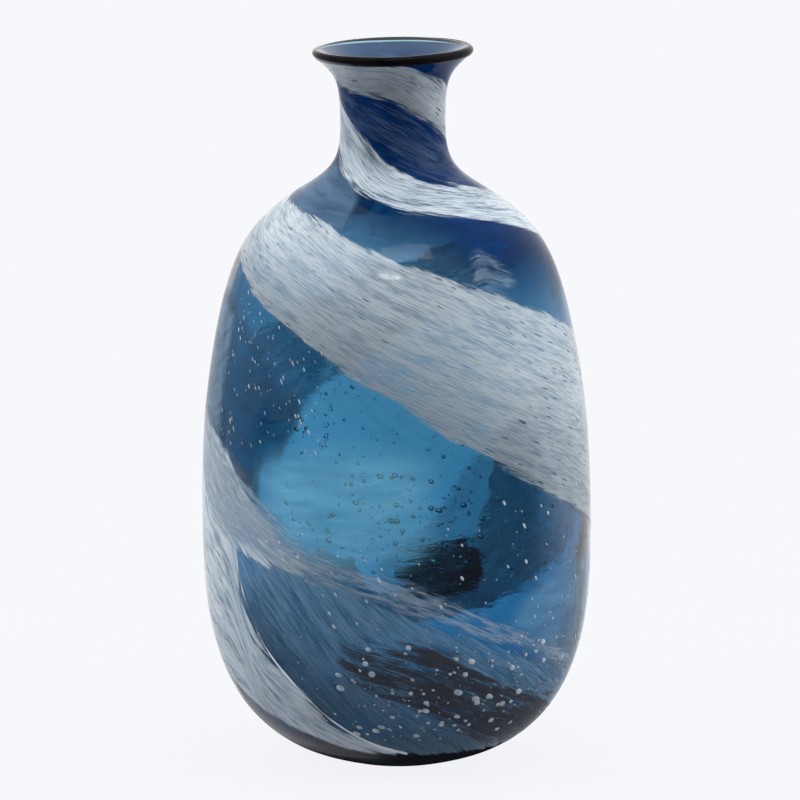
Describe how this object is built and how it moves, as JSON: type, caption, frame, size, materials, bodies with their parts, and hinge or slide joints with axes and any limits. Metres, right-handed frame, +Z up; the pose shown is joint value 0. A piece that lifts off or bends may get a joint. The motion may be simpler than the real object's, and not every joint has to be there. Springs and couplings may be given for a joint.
{
  "type": "hand blown art glass vase",
  "caption": "Round-shouldered hand blown glass vase with a short narrow neck, a flared lip and white bands twisting through smoky blue glass.",
  "frame": {"origin": "centre of the vase on the surface it stands on", "axes": "+Z up through the neck, -Y towards the front, where the dark patch lies at the heel"},
  "size_m": [0.1781, 0.178, 0.331],
  "materials": {
    "foot_glass": "dark navy clear glass, fire polished, ground flat underneath",
    "blue_glass": "clear aqua blue glass, fire polished, with gas seeds",
    "casing_glass": "thin clear pale blue skin, fire polished",
    "lip_glass": "brown-black glass, fire polished",
    "white_frit": "opaque grey-white powdered glass, streaked and feathered along the twist",
    "charcoal_frit": "opaque smoky charcoal powdered glass with pale seeds",
    "navy_frit": "dense navy powdered glass"
  },
  "bodies": {
    "root": {"foot_gather": "foot_glass", "inner_bubble": "blue_glass", "outer_casing": "casing_glass", "lip_bead": "lip_glass", "long_white_swirl": "white_frit", "short_white_swirl": "white_frit", "white_wisp": "white_frit", "charcoal_patch": "charcoal_frit", "navy_smear": "navy_frit"}
  },
  "joints": []
}
